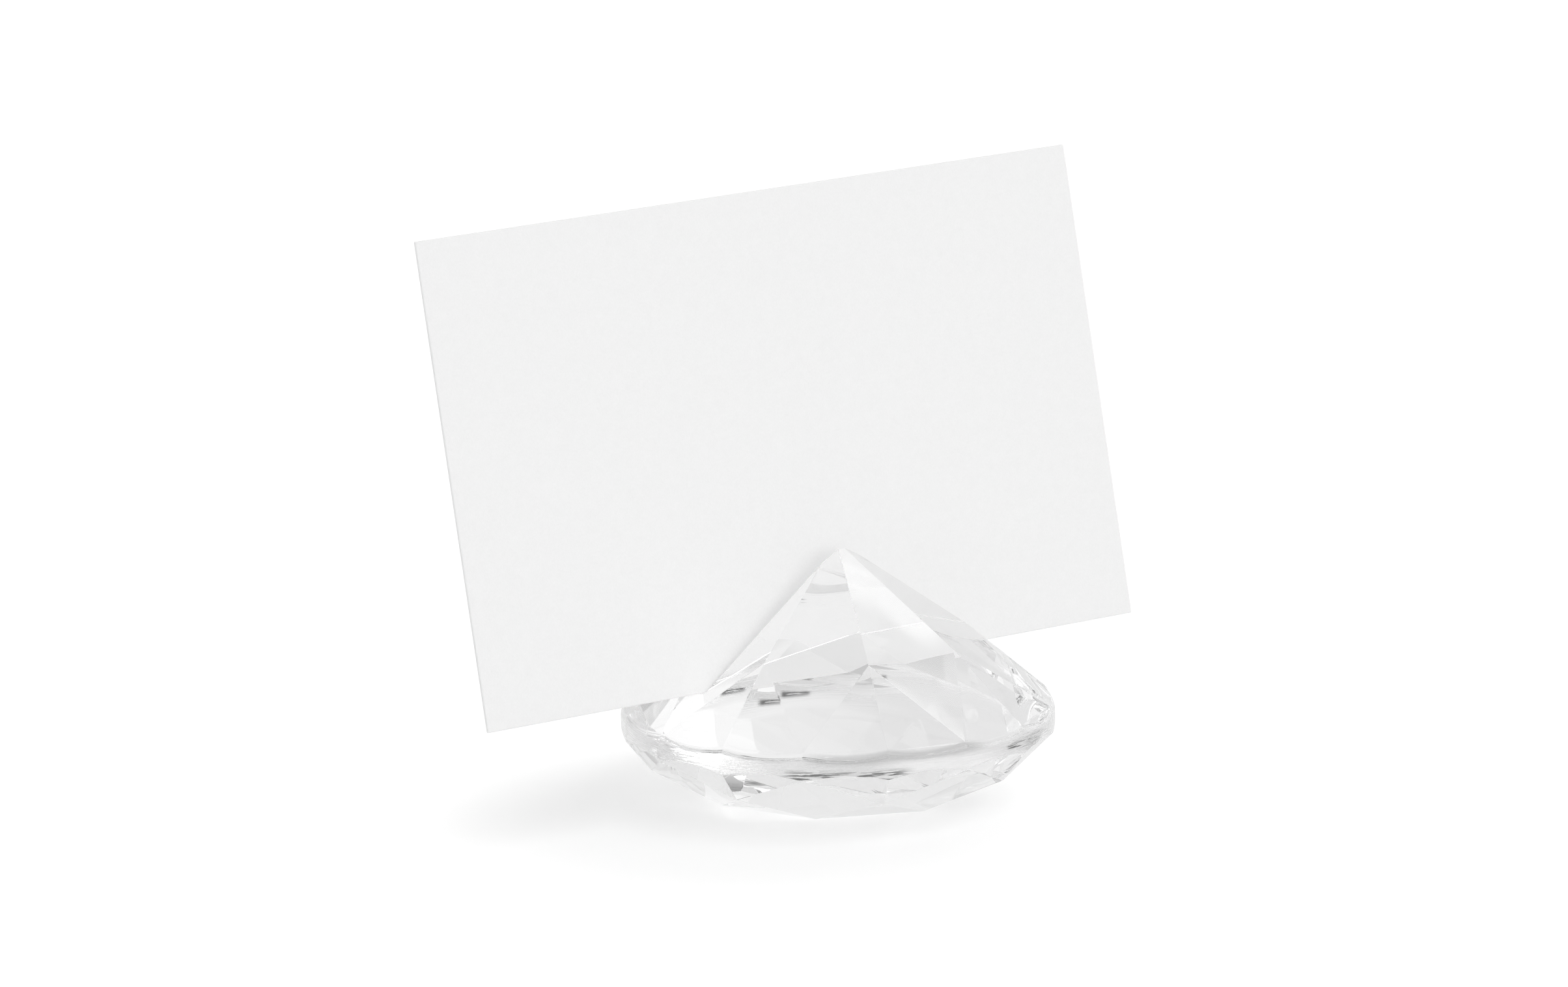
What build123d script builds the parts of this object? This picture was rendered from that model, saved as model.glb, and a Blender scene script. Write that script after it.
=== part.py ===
from build123d import *
from math import asin, atan, atan2, cos, degrees, hypot, radians, sin, tan
import os

# A place card holder: a clear block cut like a round brilliant, stood on its flat table, and a card in its slot.
# Millimetres. The origin is the centre of the table, on the surface that the block stands on. +Z is up,
# +X is along the slot, and the front of the card looks towards -Y.

# The brilliant cut
FACET_COUNT = 8                # kites on the lower half, and main facets on the upper half
girdle_diameter = 49.5         # widest round of the block
table_inset = 8.45             # from the girdle in to the corners of the octagonal face that the block stands on
star_inset = 2.95              # from the girdle in to the tips of the stars, where two neighbouring kites part
crown_height = 6.6             # table up to the lower points of the girdle band
band_height = 2.8              # girdle band at its points
pavilion_height = 19.1         # upper points of the band up to the apex that the slot removes
break_inset = 9.25             # from the girdle in to where two neighbouring main facets part
shoulder_radius = 1.2          # rounded edge between the upper facets and the band

# The slot
slot_width = 3.6
slot_depth = 14.9              # from the apex down to the slot's floor
slot_front = 1.1               # front wall of the slot, in front of the block's axis

# The card
card_width = 90.0
card_height = 55.0
card_thickness = 0.4
card_shift = 3.4               # how far the card stands off the middle of the slot, towards -X
card_gap = 0.1                 # clearance of the card from the walls and floor of the slot

overrun = 2.0                  # how far a cut runs past the surface that it starts from

os.makedirs("parts", exist_ok=True)

girdle_radius = girdle_diameter / 2
table_corner_radius = girdle_radius - table_inset
star_tip_radius = girdle_radius - star_inset
break_radius = girdle_radius - break_inset

facet_step = 360 / FACET_COUNT
half_step = facet_step / 2
quarter_step = facet_step / 4
half_share = cos(radians(half_step))
quarter_share = cos(radians(quarter_step))

band_top = crown_height + band_height
apex_height = band_top + pavilion_height


def facet(azimuth, distance, height, slope, up):
    """A facet's plane, through a point at that distance from the axis. The azimuth turns from -Y towards +X."""
    turn = radians(azimuth)
    out = Vector(sin(turn), -cos(turn), 0)
    lift = cos(slope) if up else -cos(slope)
    return Plane(origin=out * distance + Vector(0, 0, height), z_dir=out * sin(slope) + Vector(0, 0, lift))


# Slopes of the facets, measured from the horizontal
main_slope = atan(pavilion_height / girdle_radius)
break_height = apex_height - tan(main_slope) * break_radius * half_share
lower_half_slope = atan((break_height - band_top) / (break_inset * quarter_share))

kite_slope = atan(crown_height / table_inset)
star_tip_height = tan(kite_slope) * (star_tip_radius * half_share - table_corner_radius)
star_slope = atan(star_tip_height / (star_tip_radius - table_corner_radius * half_share))
upper_half_slope = atan((crown_height - star_tip_height) / (star_inset * quarter_share))

# The round blank, ground flat facet by facet
with BuildPart() as diamond_holder:
    Cylinder(girdle_radius, apex_height + overrun, align=(Align.CENTER, Align.CENTER, Align.MIN))

    for index in range(FACET_COUNT):
        on_kite = index * facet_step
        on_star = on_kite + half_step

        main_facet = facet(on_kite, girdle_radius, band_top, main_slope, up=True)
        split(bisect_by=main_facet, keep=Keep.BOTTOM)
        kite = facet(on_kite, girdle_radius, crown_height, kite_slope, up=False)
        split(bisect_by=kite, keep=Keep.BOTTOM)
        star = facet(on_star, table_corner_radius * half_share, 0, star_slope, up=False)
        split(bisect_by=star, keep=Keep.BOTTOM)

        for side in (-quarter_step, quarter_step):
            lower_half = facet(on_kite + side, girdle_radius * quarter_share, band_top, lower_half_slope, up=True)
            split(bisect_by=lower_half, keep=Keep.BOTTOM)
            upper_half = facet(on_kite + side, girdle_radius * quarter_share, crown_height, upper_half_slope, up=False)
            split(bisect_by=upper_half, keep=Keep.BOTTOM)

    # The wavy edge where the upper facets meet the round band
    band_middle = crown_height + band_height / 2
    shoulder = diamond_holder.edges().filter_by(GeomType.ELLIPSE).filter_by(lambda edge: edge.center().Z > band_middle)
    fillet(shoulder, shoulder_radius)

    # The slot, sawn right across along X
    floor_height = apex_height - slot_depth
    slot_middle = slot_width / 2 - slot_front
    with BuildSketch(Plane.XY.offset(floor_height)):
        with Locations((0, slot_middle)):
            Rectangle(girdle_diameter + overrun, slot_width)
    extrude(amount=slot_depth + overrun, mode=Mode.SUBTRACT)
diamond_holder.part.label = "diamond_holder"
export_step(diamond_holder.part, "parts/diamond_holder.step")

# The card stands on the slot's floor with its foot at the front wall, and leans on the back wall's upper edge
with BuildPart() as place_card:
    foot_y = card_gap + card_thickness - slot_front
    foot_z = floor_height + card_gap
    rest_y = slot_width - slot_front
    rest_z = apex_height - tan(main_slope) * rest_y
    lean = atan2(rest_y - foot_y, rest_z - foot_z) - asin(card_gap / hypot(rest_y - foot_y, rest_z - foot_z))
    card_back = Plane(origin=(-card_shift, foot_y, foot_z), x_dir=(1, 0, 0), z_dir=(0, -cos(lean), sin(lean)))
    with BuildSketch(card_back):
        Rectangle(card_width, card_height, align=(Align.CENTER, Align.MIN))
    extrude(amount=card_thickness)
place_card.part.label = "place_card"
export_step(place_card.part, "parts/place_card.step")

lift_clear = slot_depth / cos(lean)
print(f"the card leans back {degrees(lean):.2f} degrees and is clear of the slot after {lift_clear:.1f} mm")
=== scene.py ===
from math import asin, atan, atan2, cos, hypot, pi, radians, sin, tan

import bpy
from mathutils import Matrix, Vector


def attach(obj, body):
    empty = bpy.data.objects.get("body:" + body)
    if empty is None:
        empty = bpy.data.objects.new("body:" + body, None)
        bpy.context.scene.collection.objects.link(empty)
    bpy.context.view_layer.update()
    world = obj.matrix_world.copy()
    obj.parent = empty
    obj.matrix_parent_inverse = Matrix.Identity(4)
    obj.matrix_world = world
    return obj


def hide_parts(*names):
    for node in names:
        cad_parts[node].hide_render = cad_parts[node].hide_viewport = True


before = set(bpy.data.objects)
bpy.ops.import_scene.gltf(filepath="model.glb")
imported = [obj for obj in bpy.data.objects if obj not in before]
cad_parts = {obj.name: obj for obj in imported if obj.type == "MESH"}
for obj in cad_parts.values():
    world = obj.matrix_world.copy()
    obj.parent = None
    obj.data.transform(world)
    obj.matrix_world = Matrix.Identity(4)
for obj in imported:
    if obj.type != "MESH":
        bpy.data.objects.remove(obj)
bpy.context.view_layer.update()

# The holder: one solid block of clear crystal glass, cut like a round brilliant and stood on its table.
# A round blank is ground flat facet by facet and polished. The band round its girdle keeps the grinder's
# fine streaks, and the slot for the card is sawn straight across the point and polished like the facets.
FACET_COUNT = 8
girdle_radius = 0.02475
table_corner_radius = 0.0163
star_tip_radius = 0.0218
break_radius = 0.0155
band_bottom = 0.0066
band_top = 0.0094
apex_height = 0.0285

slot_front = -0.0011
slot_back = 0.0025
slot_floor = 0.0136
slot_corner = 0.0005        # small rounds that a worn blade leaves along the slot's floor

blank_height = 0.032
blank_sides = 256
shoulder_reach = 0.00054    # how far polishing rounds the band's wavy upper edge, to each side
hairline = 0.000035         # how far it bevels the sharp edges
near = 0.00001              # what lies this near to a wall, a floor or the girdle counts as lying on it

facet_step = 2 * pi / FACET_COUNT
half_share = cos(facet_step / 2)
quarter_share = cos(facet_step / 4)

main_slope = atan((apex_height - band_top) / girdle_radius)
break_height = apex_height - tan(main_slope) * break_radius * half_share
lower_half_run = (girdle_radius - break_radius) * quarter_share
lower_half_slope = atan((break_height - band_top) / lower_half_run)
kite_slope = atan(band_bottom / (girdle_radius - table_corner_radius))
star_tip_height = tan(kite_slope) * (star_tip_radius * half_share - table_corner_radius)
star_slope = atan(star_tip_height / (star_tip_radius - table_corner_radius * half_share))
upper_half_run = (girdle_radius - star_tip_radius) * quarter_share
upper_half_slope = atan((band_bottom - star_tip_height) / upper_half_run)

bpy.ops.object.select_all(action="DESELECT")
bpy.ops.mesh.primitive_cylinder_add(
    vertices=blank_sides, radius=girdle_radius, depth=blank_height, location=(0, 0, blank_height / 2)
)
brilliant = bpy.context.object
brilliant.name = "brilliant_block"
brilliant.data.name = "brilliant_block"
bpy.ops.object.transform_apply(location=True, rotation=True, scale=True)
bpy.ops.object.shade_smooth()
bpy.ops.object.mode_set(mode="EDIT")


def grind_facet(azimuth, distance, height, slope, upward):
    """Cuts one flat facet through a point at that distance from the axis.

    The azimuth turns from -Y towards +X.
    """
    out = Vector((sin(azimuth), -cos(azimuth), 0))
    lift = cos(slope) if upward else -cos(slope)
    bpy.ops.mesh.select_all(action="SELECT")
    bpy.ops.mesh.bisect(
        plane_co=out * distance + Vector((0, 0, height)),
        plane_no=out * sin(slope) + Vector((0, 0, lift)),
        use_fill=True,
        clear_outer=True,
        threshold=1e-7,
    )
    bpy.ops.mesh.faces_shade_flat()


for index in range(FACET_COUNT):
    on_kite = index * facet_step
    on_star = on_kite + facet_step / 2
    grind_facet(on_kite, girdle_radius, band_top, main_slope, upward=True)
    grind_facet(on_kite, girdle_radius, band_bottom, kite_slope, upward=False)
    grind_facet(on_star, table_corner_radius * half_share, 0, star_slope, upward=False)
    for side in (-facet_step / 4, facet_step / 4):
        on_half = on_kite + side
        grind_facet(on_half, girdle_radius * quarter_share, band_top, lower_half_slope, upward=True)
        grind_facet(on_half, girdle_radius * quarter_share, band_bottom, upper_half_slope, upward=False)

bpy.ops.mesh.select_all(action="SELECT")
bpy.ops.mesh.remove_doubles(threshold=2 * near)
bpy.ops.mesh.select_all(action="DESELECT")
bpy.ops.object.mode_set(mode="OBJECT")

# Polishing rounds the wavy upper edge of the band
for edge in brilliant.data.edges:
    one, two = (brilliant.data.vertices[corner].co for corner in edge.vertices)
    at_girdle = min(hypot(one.x, one.y), hypot(two.x, two.y)) > girdle_radius - 2 * near
    in_upper_half = (one.z + two.z) / 2 > (band_bottom + band_top) / 2
    runs_round = hypot(one.x - two.x, one.y - two.y) > near
    edge.select = at_girdle and in_upper_half and runs_round
bpy.ops.object.mode_set(mode="EDIT")
bpy.ops.mesh.select_mode(type="EDGE")
bpy.ops.mesh.bevel(offset=shoulder_reach, segments=6, affect="EDGES", clamp_overlap=False)
bpy.ops.mesh.faces_shade_smooth()
bpy.ops.object.mode_set(mode="OBJECT")

# The saw's cut, with its rounds along the floor
cut_length = 0.06
cut_height = 0.02
bpy.ops.object.select_all(action="DESELECT")
bpy.ops.mesh.primitive_cube_add(
    size=1, location=(0, (slot_front + slot_back) / 2, slot_floor + cut_height / 2)
)
saw_cut = bpy.context.object
saw_cut.scale = (cut_length, slot_back - slot_front, cut_height)
bpy.ops.object.transform_apply(location=True, rotation=True, scale=True)
bpy.ops.object.mode_set(mode="EDIT")
bpy.ops.mesh.select_mode(type="EDGE")
bpy.ops.mesh.select_all(action="DESELECT")
bpy.ops.object.mode_set(mode="OBJECT")
for edge in saw_cut.data.edges:
    one, two = (saw_cut.data.vertices[corner].co for corner in edge.vertices)
    edge.select = max(one.z, two.z) < slot_floor + near and abs(one.x - two.x) > cut_length / 2
bpy.ops.object.mode_set(mode="EDIT")
bpy.ops.mesh.bevel(offset=slot_corner, segments=8, affect="EDGES")
bpy.ops.mesh.faces_shade_smooth()
bpy.ops.object.mode_set(mode="OBJECT")
bpy.ops.object.select_all(action="DESELECT")
bpy.context.view_layer.objects.active = brilliant
brilliant.select_set(True)
sawn = brilliant.modifiers.new("saw", "BOOLEAN")
sawn.operation = "DIFFERENCE"
sawn.solver = "EXACT"
sawn.object = saw_cut
bpy.ops.object.modifier_apply(modifier="saw")
bpy.data.objects.remove(saw_cut)

# Polish leaves a hairline bevel on every sharp edge, but not on the rounds of the slot's floor
bpy.ops.object.mode_set(mode="EDIT")
bpy.ops.mesh.select_mode(type="EDGE")
bpy.ops.mesh.select_all(action="DESELECT")
bpy.ops.mesh.edges_select_sharp(sharpness=radians(5))
bpy.ops.object.mode_set(mode="OBJECT")
for edge in brilliant.data.edges:
    one, two = (brilliant.data.vertices[corner].co for corner in edge.vertices)
    in_slot = slot_front - near < min(one.y, two.y) and max(one.y, two.y) < slot_back + near
    on_round = slot_floor - near < max(one.z, two.z) < slot_floor + slot_corner + near
    if in_slot and on_round:
        edge.select = False
bpy.ops.object.mode_set(mode="EDIT")
bpy.ops.mesh.bevel(offset=hairline, segments=1, affect="EDGES", clamp_overlap=False)
bpy.ops.mesh.faces_shade_flat()
bpy.ops.object.mode_set(mode="OBJECT")


class Wire:
    """A shader socket that sums are written with."""

    def __init__(self, tree, socket):
        self.tree = tree
        self.socket = socket

    def node(self, kind, settings=(), output=0, **inputs):
        """Adds a node. An input is given by its name, or by its number after an underscore."""
        made = self.tree.nodes.new(kind)
        for name, value in dict(settings).items():
            setattr(made, name, value)
        for name, value in inputs.items():
            if name[0] == "_":
                entry = made.inputs[int(name[1:])]
            else:
                entry = made.inputs[name.replace("_", " ")]
            if isinstance(value, Wire):
                self.tree.links.new(value.socket, entry)
            else:
                entry.default_value = value
        return Wire(self.tree, made.outputs[output])

    def math(self, operation, other):
        return self.node("ShaderNodeMath", {"operation": operation}, _0=self, _1=other)

    def __add__(self, other):
        return self.math("ADD", other)

    __radd__ = __add__

    def __mul__(self, other):
        return self.math("MULTIPLY", other)

    __rmul__ = __mul__


# Crystal glass: clear, with the slow waves of hand polishing and the fine level streaks of the band. On
# stretches of the band's streaks and of its shoulder, dark grey is painted and made metallic: painted shade
# and painted dark reflections
CLEAR = (0.985, 0.985, 0.985, 1)
# The dark grey of the painted shade on the band and its shoulder
PAINTED_SHADE_GREY = (0.12, 0.12, 0.12, 1)
GLASS_INDEX = 1.5
HAND_SHIFT = (0.022, 0.044, 0.038)    # which of the polisher's waves this block got
wave_scale = 95.0
wave_depth = 0.00016
streak_scale = (340, 340, 5200)       # long round the band, and fine up it
streak_depth = 0.000042
streak_blur = 0.045                   # how softly each dark streak ends
stretch_blur = 0.0003                 # how softly a stretch of them ends, up and down
# How dark the painted shade is on the band and on its shoulder
BAND_PAINTED_SHADE = 0.9
SHOULDER_PAINTED_SHADE = 0.5
band_fades_in = 0.02466               # radius past which the glass is ground and no longer polished
band_is_full = 0.02473
shoulder_fades_in = 0.0241
shoulder_is_full = 0.0244

crystal = bpy.data.materials.new("polished_crystal")
crystal.use_nodes = True
crystal_tree = crystal.node_tree
crystal_finish = crystal_tree.nodes["Principled BSDF"]
crystal_finish.inputs["Roughness"].default_value = 0.0
crystal_finish.inputs["IOR"].default_value = GLASS_INDEX
crystal_finish.inputs["Transmission Weight"].default_value = 1.0

glass = Wire(crystal_tree, None)
in_block = glass.node("ShaderNodeTexCoord", output="Object")
across = glass.node("ShaderNodeVectorMath", {"operation": "MULTIPLY"}, _0=in_block, _1=(1, 1, 0))
radius = glass.node("ShaderNodeVectorMath", {"operation": "LENGTH"}, output="Value", _0=across)
bearing = glass.node("ShaderNodeVectorMath", {"operation": "NORMALIZE"}, _0=across)
height_up = glass.node("ShaderNodeSeparateXYZ", output="Z", Vector=in_block)
on_band = glass.node(
    "ShaderNodeMapRange",
    {"interpolation_type": "SMOOTHSTEP"},
    Value=radius,
    From_Min=band_fades_in,
    From_Max=band_is_full,
)
on_shoulder = glass.node(
    "ShaderNodeMapRange", Value=radius, From_Min=shoulder_fades_in, From_Max=shoulder_is_full
)
stretched = glass.node("ShaderNodeVectorMath", {"operation": "MULTIPLY"}, _0=in_block, _1=streak_scale)
streaks = glass.node("ShaderNodeTexNoise", Vector=stretched, Scale=1.0, Detail=4.0)


def painted_dark_stretch(azimuth, half_length, bottom, top, sparseness):
    """Painted shade in dark streaks on a stretch of the band, between two heights, along the noise of its
    grinding streaks.

    The azimuth of the stretch's middle turns from -Y towards +X.
    """
    turn = radians(azimuth)
    middle = (sin(turn), -cos(turn), 0)
    nearness = glass.node(
        "ShaderNodeVectorMath", {"operation": "DOT_PRODUCT"}, output="Value", _0=bearing, _1=middle
    )
    along = glass.node(
        "ShaderNodeMapRange",
        {"interpolation_type": "SMOOTHSTEP"},
        Value=nearness,
        From_Min=cos(radians(half_length * 1.15)),
        From_Max=cos(radians(half_length * 0.7)),
    )
    above = glass.node(
        "ShaderNodeMapRange", Value=height_up, From_Min=bottom - stretch_blur, From_Max=bottom + stretch_blur
    )
    below = glass.node(
        "ShaderNodeMapRange", Value=height_up, From_Min=top + stretch_blur, From_Max=top - stretch_blur
    )
    dark = glass.node(
        "ShaderNodeMapRange",
        {"interpolation_type": "SMOOTHSTEP"},
        Value=streaks,
        From_Min=sparseness - streak_blur,
        From_Max=sparseness + streak_blur,
    )
    return along * above * below * dark


# Painted shade on the band's grinding streaks at the front, to the left and to the right
front_left = painted_dark_stretch(azimuth=-34, half_length=17, bottom=0.006, top=0.0077, sparseness=0.495)
front_right = painted_dark_stretch(azimuth=20, half_length=6, bottom=0.0074, top=0.0083, sparseness=0.495)
# A painted dark spot on the band at the back, standing in for the dark surroundings that the glass shows
# there
at_back = painted_dark_stretch(azimuth=151.5, half_length=4.2, bottom=0.0067, top=0.0077, sparseness=0.38)
# A painted dark stripe along the shoulder under the wavy edge, standing in for the shoulder's dark
# reflection
shoulder = painted_dark_stretch(azimuth=-19, half_length=24, bottom=0.0085, top=0.0106, sparseness=0.33)
painted_band_shade = (front_left + front_right + at_back) * on_band * BAND_PAINTED_SHADE
painted_shade = painted_band_shade + shoulder * on_shoulder * SHOULDER_PAINTED_SHADE
painted_shade_colour = glass.node("ShaderNodeMix", {"data_type": "RGBA"}, output=2, Factor=painted_shade, _6=CLEAR, _7=PAINTED_SHADE_GREY)
crystal_tree.links.new(painted_shade_colour.socket, crystal_finish.inputs["Base Color"])
# The painted shade also makes the band metallic, so that it mirrors dark from inside
crystal_tree.links.new(painted_band_shade.socket, crystal_finish.inputs["Metallic"])

shifted = glass.node("ShaderNodeVectorMath", {"operation": "ADD"}, _0=in_block, _1=HAND_SHIFT)
waves = glass.node("ShaderNodeTexNoise", Vector=shifted, Scale=wave_scale, Detail=0.0)
hand_polish = glass.node("ShaderNodeBump", Strength=1.0, Distance=wave_depth, Height=waves)
grinding = glass.node(
    "ShaderNodeBump", Strength=1.0, Distance=streak_depth, Height=streaks * on_band, Normal=hand_polish
)
crystal_tree.links.new(grinding.socket, crystal_finish.inputs["Normal"])
brilliant.data.materials.clear()
brilliant.data.materials.append(crystal)

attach(brilliant, "holder")
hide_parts("diamond_holder")

# The card: a blank card of heavy felt-marked white paper, cut square. It stands on the slot's floor
# with its foot at the front wall and leans on the upper edge of the back wall.
card_width = 0.090
card_height = 0.055
card_thickness = 0.0004
card_shift = 0.0034         # how far it stands off the middle of the slot, towards -X
card_gap = 0.0001           # its clearance from the slot's walls and floor
card_edge = 0.00016         # how far the knife's pressure rounds its edges

foot_y = slot_front + card_gap + card_thickness
foot_z = slot_floor + card_gap
back_y = slot_back - foot_y
back_z = apex_height - tan(main_slope) * slot_back - foot_z
lean = atan2(back_y, back_z) - asin(card_gap / hypot(back_y, back_z))

bpy.ops.object.select_all(action="DESELECT")
bpy.ops.mesh.primitive_cube_add(size=1, location=(0, 0, 0))
card = bpy.context.object
card.name = "paper_card"
card.data.name = "paper_card"
card.scale = (card_width, card_thickness, card_height)
bpy.ops.object.transform_apply(location=False, rotation=False, scale=True)
bpy.ops.object.mode_set(mode="EDIT")
bpy.ops.mesh.select_all(action="SELECT")
bpy.ops.mesh.bevel(offset=card_edge, segments=3, affect="EDGES")
bpy.ops.object.mode_set(mode="OBJECT")
card.location = (-card_shift, -card_thickness / 2, card_height / 2)
bpy.ops.object.transform_apply(location=True, rotation=False, scale=False)
card.rotation_euler = (-lean, 0, 0)
card.location = (0, foot_y, foot_z)
bpy.ops.object.transform_apply(location=True, rotation=True, scale=True)

# Felt-marked paper: faint clouds and fibres in two near whites, with painted light along the left and right
# cut sides that lightens the shade on their narrow faces
DULL_WHITE = (0.815, 0.815, 0.815, 1)
BRIGHT_WHITE = (0.893, 0.893, 0.893, 1)
fibre_scale = (5200, 5200, 3600)
felt_scale = 900.0
press_depth = 0.000012

paper = bpy.data.materials.new("felt_marked_paper")
paper.use_nodes = True
paper_tree = paper.node_tree
paper_finish = paper_tree.nodes["Principled BSDF"]
paper_finish.inputs["Roughness"].default_value = 0.9
sheet = Wire(paper_tree, None)
in_card = sheet.node("ShaderNodeTexCoord", output="Object")
upright = sheet.node("ShaderNodeVectorMath", {"operation": "MULTIPLY"}, _0=in_card, _1=fibre_scale)
fibres = sheet.node("ShaderNodeTexNoise", Vector=upright, Scale=1.0, Detail=2.0, Roughness=0.6)
felt = sheet.node("ShaderNodeTexNoise", Vector=in_card, Scale=felt_scale, Detail=2.0)
from_middle = sheet.node("ShaderNodeSeparateXYZ", output="X", Vector=in_card) + card_shift
# Painted light: the colour turns lighter towards the left and right cut sides, so that their narrow faces
# show less shade
painted_light_at_cut = sheet.node(
    "ShaderNodeMapRange",
    Value=from_middle.math("ABSOLUTE", 0.0),
    From_Min=card_width / 2 - card_edge,
    From_Max=card_width / 2 - card_edge / 2,
)
lightness = fibres * 0.7 + felt * 0.3 + painted_light_at_cut
whites = sheet.node(
    "ShaderNodeMix", {"data_type": "RGBA"}, output=2, Factor=lightness, _6=DULL_WHITE, _7=BRIGHT_WHITE
)
pressed = sheet.node("ShaderNodeBump", Strength=1.0, Distance=press_depth, Height=fibres + felt)
paper_tree.links.new(whites.socket, paper_finish.inputs["Base Color"])
paper_tree.links.new(pressed.socket, paper_finish.inputs["Normal"])
card.data.materials.clear()
card.data.materials.append(paper)

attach(card, "card")
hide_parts("place_card")

# The studio table: a seamless white board. It lies a tenth of a millimetre below the glass, so that the
# glass's flat face mirrors from inside. It is white to the camera and through the glass, and keeps the
# soft shadow of what stands on it.
table_size = 12
table_drop = 0.0001
BOARD_WHITE = (0.96, 0.96, 0.96, 1)
GLOW_TO_CAMERA = 1.10
GLOW_IN_GLASS = 0.84
SHADOW_SHARE = 0.28         # the glow's share in the middle of the shadow
SHADOW_MIDDLE = (-0.016, -0.007, 0)
shadow_inner = 0.019
shadow_outer = 0.048

bpy.ops.object.select_all(action="DESELECT")
bpy.ops.mesh.primitive_plane_add(size=table_size, location=(0, 0, -table_drop))
table = bpy.context.object
table.name = "studio_table"
table.data.name = "studio_table"
bpy.ops.object.transform_apply(location=True, rotation=True, scale=True)

tabletop = bpy.data.materials.new("white_tabletop")
tabletop.use_nodes = True
table_tree = tabletop.node_tree
table_tree.nodes.clear()
board = Wire(table_tree, None)
by_camera = board.node("ShaderNodeLightPath", output="Is Camera Ray")
by_mirror = board.node("ShaderNodeLightPath", output="Is Glossy Ray")
through_glass = board.node("ShaderNodeLightPath", output="Is Transmission Ray")
seen = (by_camera + by_mirror + through_glass).math("MINIMUM", 1.0)
on_board = board.node("ShaderNodeTexCoord", output="Object")


def board_patch(middle, inner, outer, inside, outside):
    """One value inside the inner radius of a place on the board, and another past the outer radius."""
    away = board.node(
        "ShaderNodeVectorMath", {"operation": "DISTANCE"}, output="Value", _0=on_board, _1=middle
    )
    return board.node(
        "ShaderNodeMapRange",
        {"interpolation_type": "SMOOTHSTEP"},
        Value=away,
        From_Min=inner,
        From_Max=outer,
        To_Min=inside,
        To_Max=outside,
    )


# A painted pool of light in front of the glass and painted shade behind it, in the glow that is seen only
# through the glass
light_pool = board_patch((0.021, -0.029, 0), inner=0.008, outer=0.02, inside=0.06, outside=0.0)
shade_pool = board_patch((0.013, 0.017, 0), inner=0.006, outer=0.018, inside=-0.04, outside=0.0)
in_glass = light_pool + shade_pool + GLOW_IN_GLASS
tone = board.node(
    "ShaderNodeMix", {"data_type": "FLOAT"}, Factor=by_camera, _2=in_glass, _3=GLOW_TO_CAMERA
)
glow = board.node("ShaderNodeEmission", Color=(1, 1, 1, 1), Strength=tone)
matt = board.node("ShaderNodeBsdfDiffuse", Color=BOARD_WHITE)
share = board_patch(SHADOW_MIDDLE, shadow_inner, shadow_outer, inside=SHADOW_SHARE, outside=1.0)
mixed = board.node("ShaderNodeMixShader", _0=seen * share, _1=matt, _2=glow)
board_outlet = table_tree.nodes.new("ShaderNodeOutputMaterial")
table_tree.links.new(mixed.socket, board_outlet.inputs["Surface"])
table.data.materials.append(tabletop)

# The light: a tent of white cloth that glows evenly, with soft lamps behind it and black flags that take
# some of its light away. The glass shows each of them in its facets, and the camera sees plain white.
TENT_GLOW = 0.74
tent = bpy.data.worlds.new("light_tent")
bpy.context.scene.world = tent
tent.use_nodes = True
tent_tree = tent.node_tree
tent_tree.nodes.clear()
cloth = Wire(tent_tree, None)
looking = cloth.node("ShaderNodeTexCoord", output="Generated")


def tent_patch(azimuth, elevation, inner, outer):
    """One where the tent is seen within the inner angle of a direction, and nothing past the outer angle."""
    turn = radians(azimuth)
    lift = radians(elevation)
    axis = (sin(turn) * cos(lift), -cos(turn) * cos(lift), sin(lift))
    nearness = cloth.node(
        "ShaderNodeVectorMath", {"operation": "DOT_PRODUCT"}, output="Value", _0=looking, _1=axis
    )
    return cloth.node(
        "ShaderNodeMapRange",
        {"interpolation_type": "SMOOTHSTEP"},
        Value=nearness,
        From_Min=cos(radians(outer)),
        From_Max=cos(radians(inner)),
    )


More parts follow.
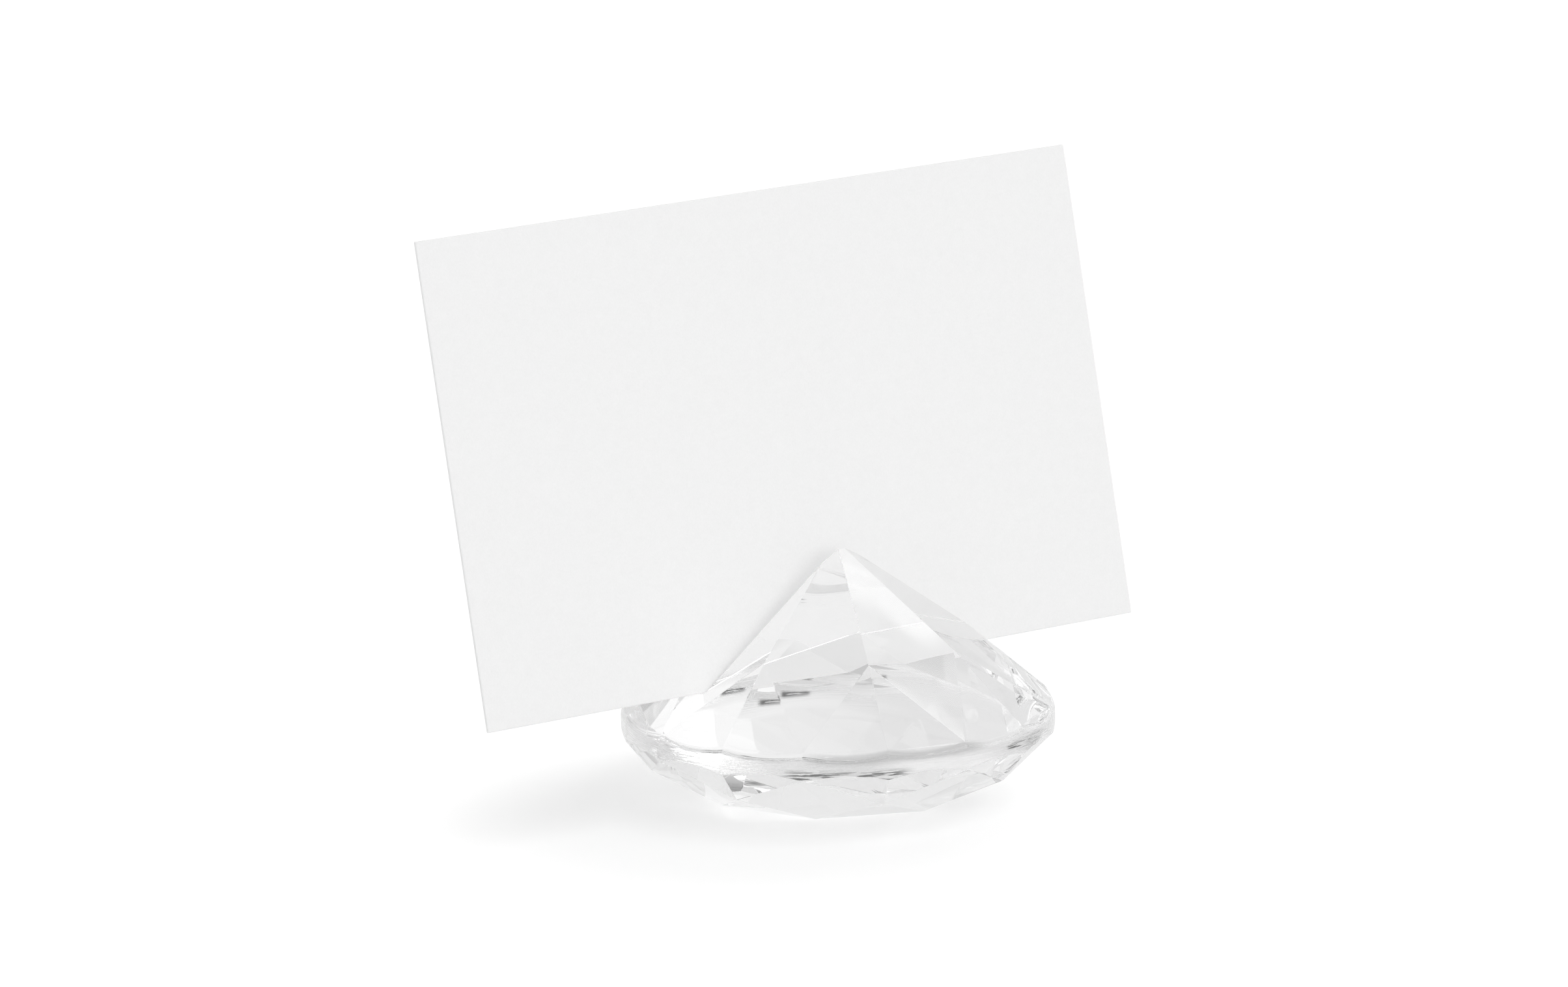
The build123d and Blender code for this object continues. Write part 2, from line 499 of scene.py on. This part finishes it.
# Azimuth and elevation of each one's middle, its inner and outer angle, and what it adds to the glow
LAMPS = (
    (-15, 4, 4, 32, 0.8),
    (15, 4, 4, 32, 1.0),
    (30, 56, 8, 34, 0.9),
    (75, 50, 5, 18, 0.95),
    (75, 35, 5, 18, 0.7),
    (76.4, 60.2, 6.4, 7.6, 2.2),
    (105, 4, 4, 32, 0.2),
    (120, 30, 8, 36, 0.15),
    (143, 5, 4, 12, 0.1),
    (-90, 56, 8, 34, 0.15),
    (-80, 30, 8, 36, 0.1),
)
FLAGS = (
    (-40, 30, 8, 36, -0.45),
    (-19, 37, 2, 10, -0.32),
    (0, 90, 8, 32, -0.25),
    (-142, 54, 4, 18, -0.13),
    (-97, 38, 4, 16, -0.15),
)
glowing = TENT_GLOW
for azimuth, elevation, inner, outer, added in LAMPS + FLAGS:
    glowing = glowing + tent_patch(azimuth, elevation, inner, outer) * added
tent_seen = cloth.node("ShaderNodeLightPath", output="Is Camera Ray")
lit = cloth.node("ShaderNodeMix", {"data_type": "FLOAT"}, Factor=tent_seen, _2=glowing, _3=1.0)
backing = cloth.node("ShaderNodeBackground", Color=(1, 1, 1, 1), Strength=lit)
tent_outlet = tent_tree.nodes.new("ShaderNodeOutputWorld")
tent_tree.links.new(backing.socket, tent_outlet.inputs["Surface"])

# The camera: a long lens about a metre away, in front on the left and a little above the table
camera_data = bpy.data.cameras.new("camera")
camera_data.sensor_width = 36
camera_data.lens = 209.3
camera_data.clip_start = 0.01
camera = bpy.data.objects.new("camera", camera_data)
bpy.context.scene.collection.objects.link(camera)
camera.location = (-0.58681, -0.81850, 0.26497)
camera.rotation_euler = (radians(77.0777), radians(0.8326), radians(-35.5004))
bpy.context.scene.camera = camera
bpy.context.scene.view_settings.view_transform = "Standard"

# Light turns many times inside a cut block before it comes out
TURNS = 32
bpy.context.scene.cycles.max_bounces = TURNS
bpy.context.scene.cycles.glossy_bounces = TURNS
bpy.context.scene.cycles.transmission_bounces = TURNS
bpy.context.scene.cycles.blur_glossy = 0
